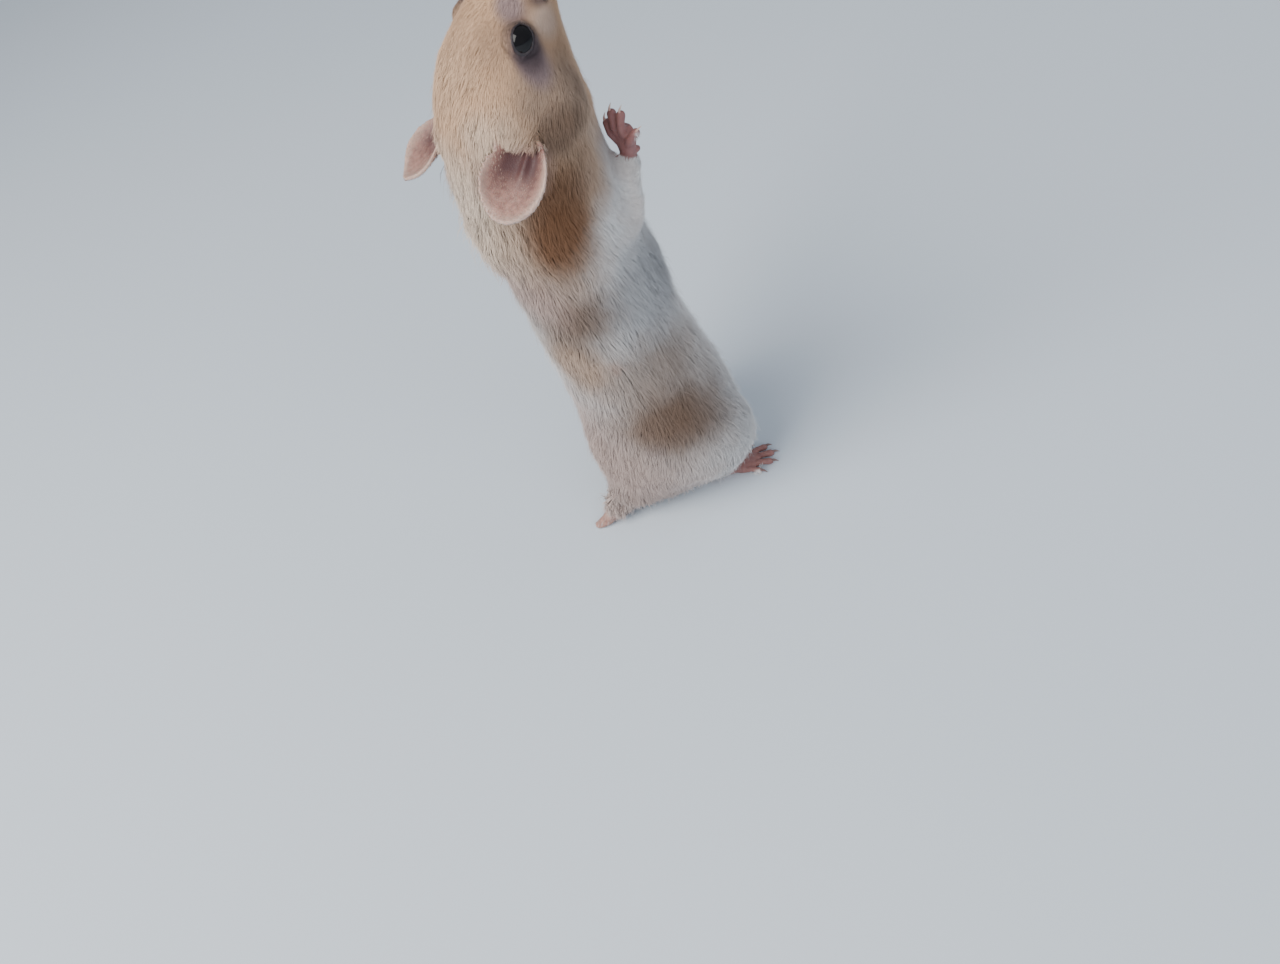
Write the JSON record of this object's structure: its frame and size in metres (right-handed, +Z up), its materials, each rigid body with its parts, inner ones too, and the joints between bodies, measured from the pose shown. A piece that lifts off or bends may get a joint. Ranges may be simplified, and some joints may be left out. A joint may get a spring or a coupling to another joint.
{
  "type": "syrian hamster",
  "caption": "Life-size still model of a Syrian hamster stretched upright on its hind feet, nose up, forepaws raised and ears folded back.",
  "frame": {"origin": "floor point under the middle of the bounding box", "axes": "+Z up, the animal faces -Y, its right side is at -X"},
  "size_m": [0.0506, 0.0534, 0.1527],
  "materials": {
    "coat_apricot": "soft short fur",
    "coat_brown": "soft short fur",
    "coat_white": "soft fur",
    "pink_skin": "thin bare skin with fine down",
    "dark_eye": "wet gloss"
  },
  "bodies": {
    "root": {"head": "coat_apricot", "nose": "pink_skin", "eye_left": "dark_eye", "eye_right": "dark_eye", "ear_left": "pink_skin", "ear_right": "pink_skin", "neck": "coat_brown", "chest": "coat_white", "belly": "coat_white", "rump": "coat_white", "tail": "pink_skin", "foreleg_left": "coat_white", "foreleg_right": "coat_white", "forepaw_left": "pink_skin", "forepaw_right": "pink_skin", "hind_leg_left": "coat_white", "hind_leg_right": "coat_white", "hind_foot_left": "pink_skin", "hind_foot_right": "pink_skin"}
  },
  "joints": []
}
